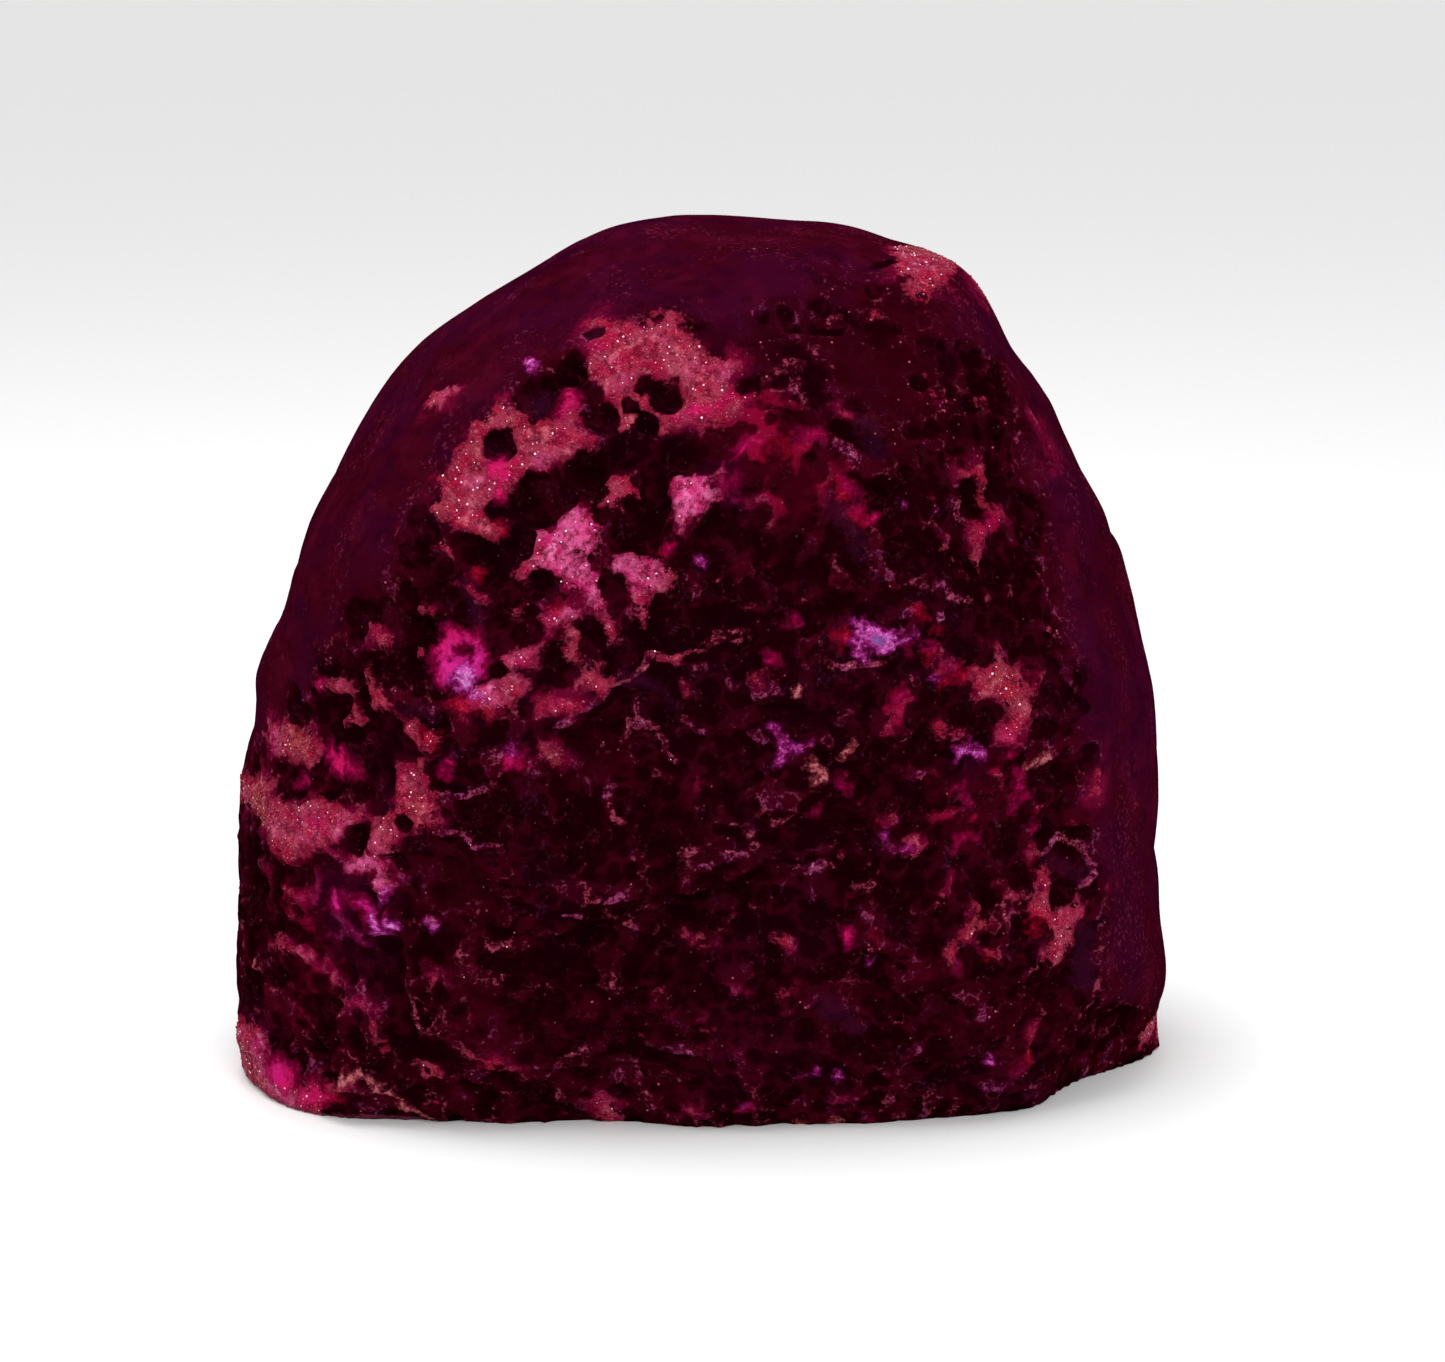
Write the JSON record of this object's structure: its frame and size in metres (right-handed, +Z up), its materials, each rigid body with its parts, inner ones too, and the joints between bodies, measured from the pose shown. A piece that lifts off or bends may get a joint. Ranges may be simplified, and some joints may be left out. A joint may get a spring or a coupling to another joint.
{
  "type": "agate geode",
  "caption": "Dyed magenta agate geode with its natural rough, pocked rind all round and sugary quartz patches, sawn flat below so that it stands upright",
  "frame": {"origin": "centre of the sawn flat base, on the surface it stands on", "axes": "+Z up, +X across its width, -Y towards the broad, most pocked side"},
  "size_m": [0.1029, 0.0675, 0.0928],
  "materials": {
    "rind": "rough"
  },
  "bodies": {
    "root": {"geode": "rind"}
  },
  "joints": []
}
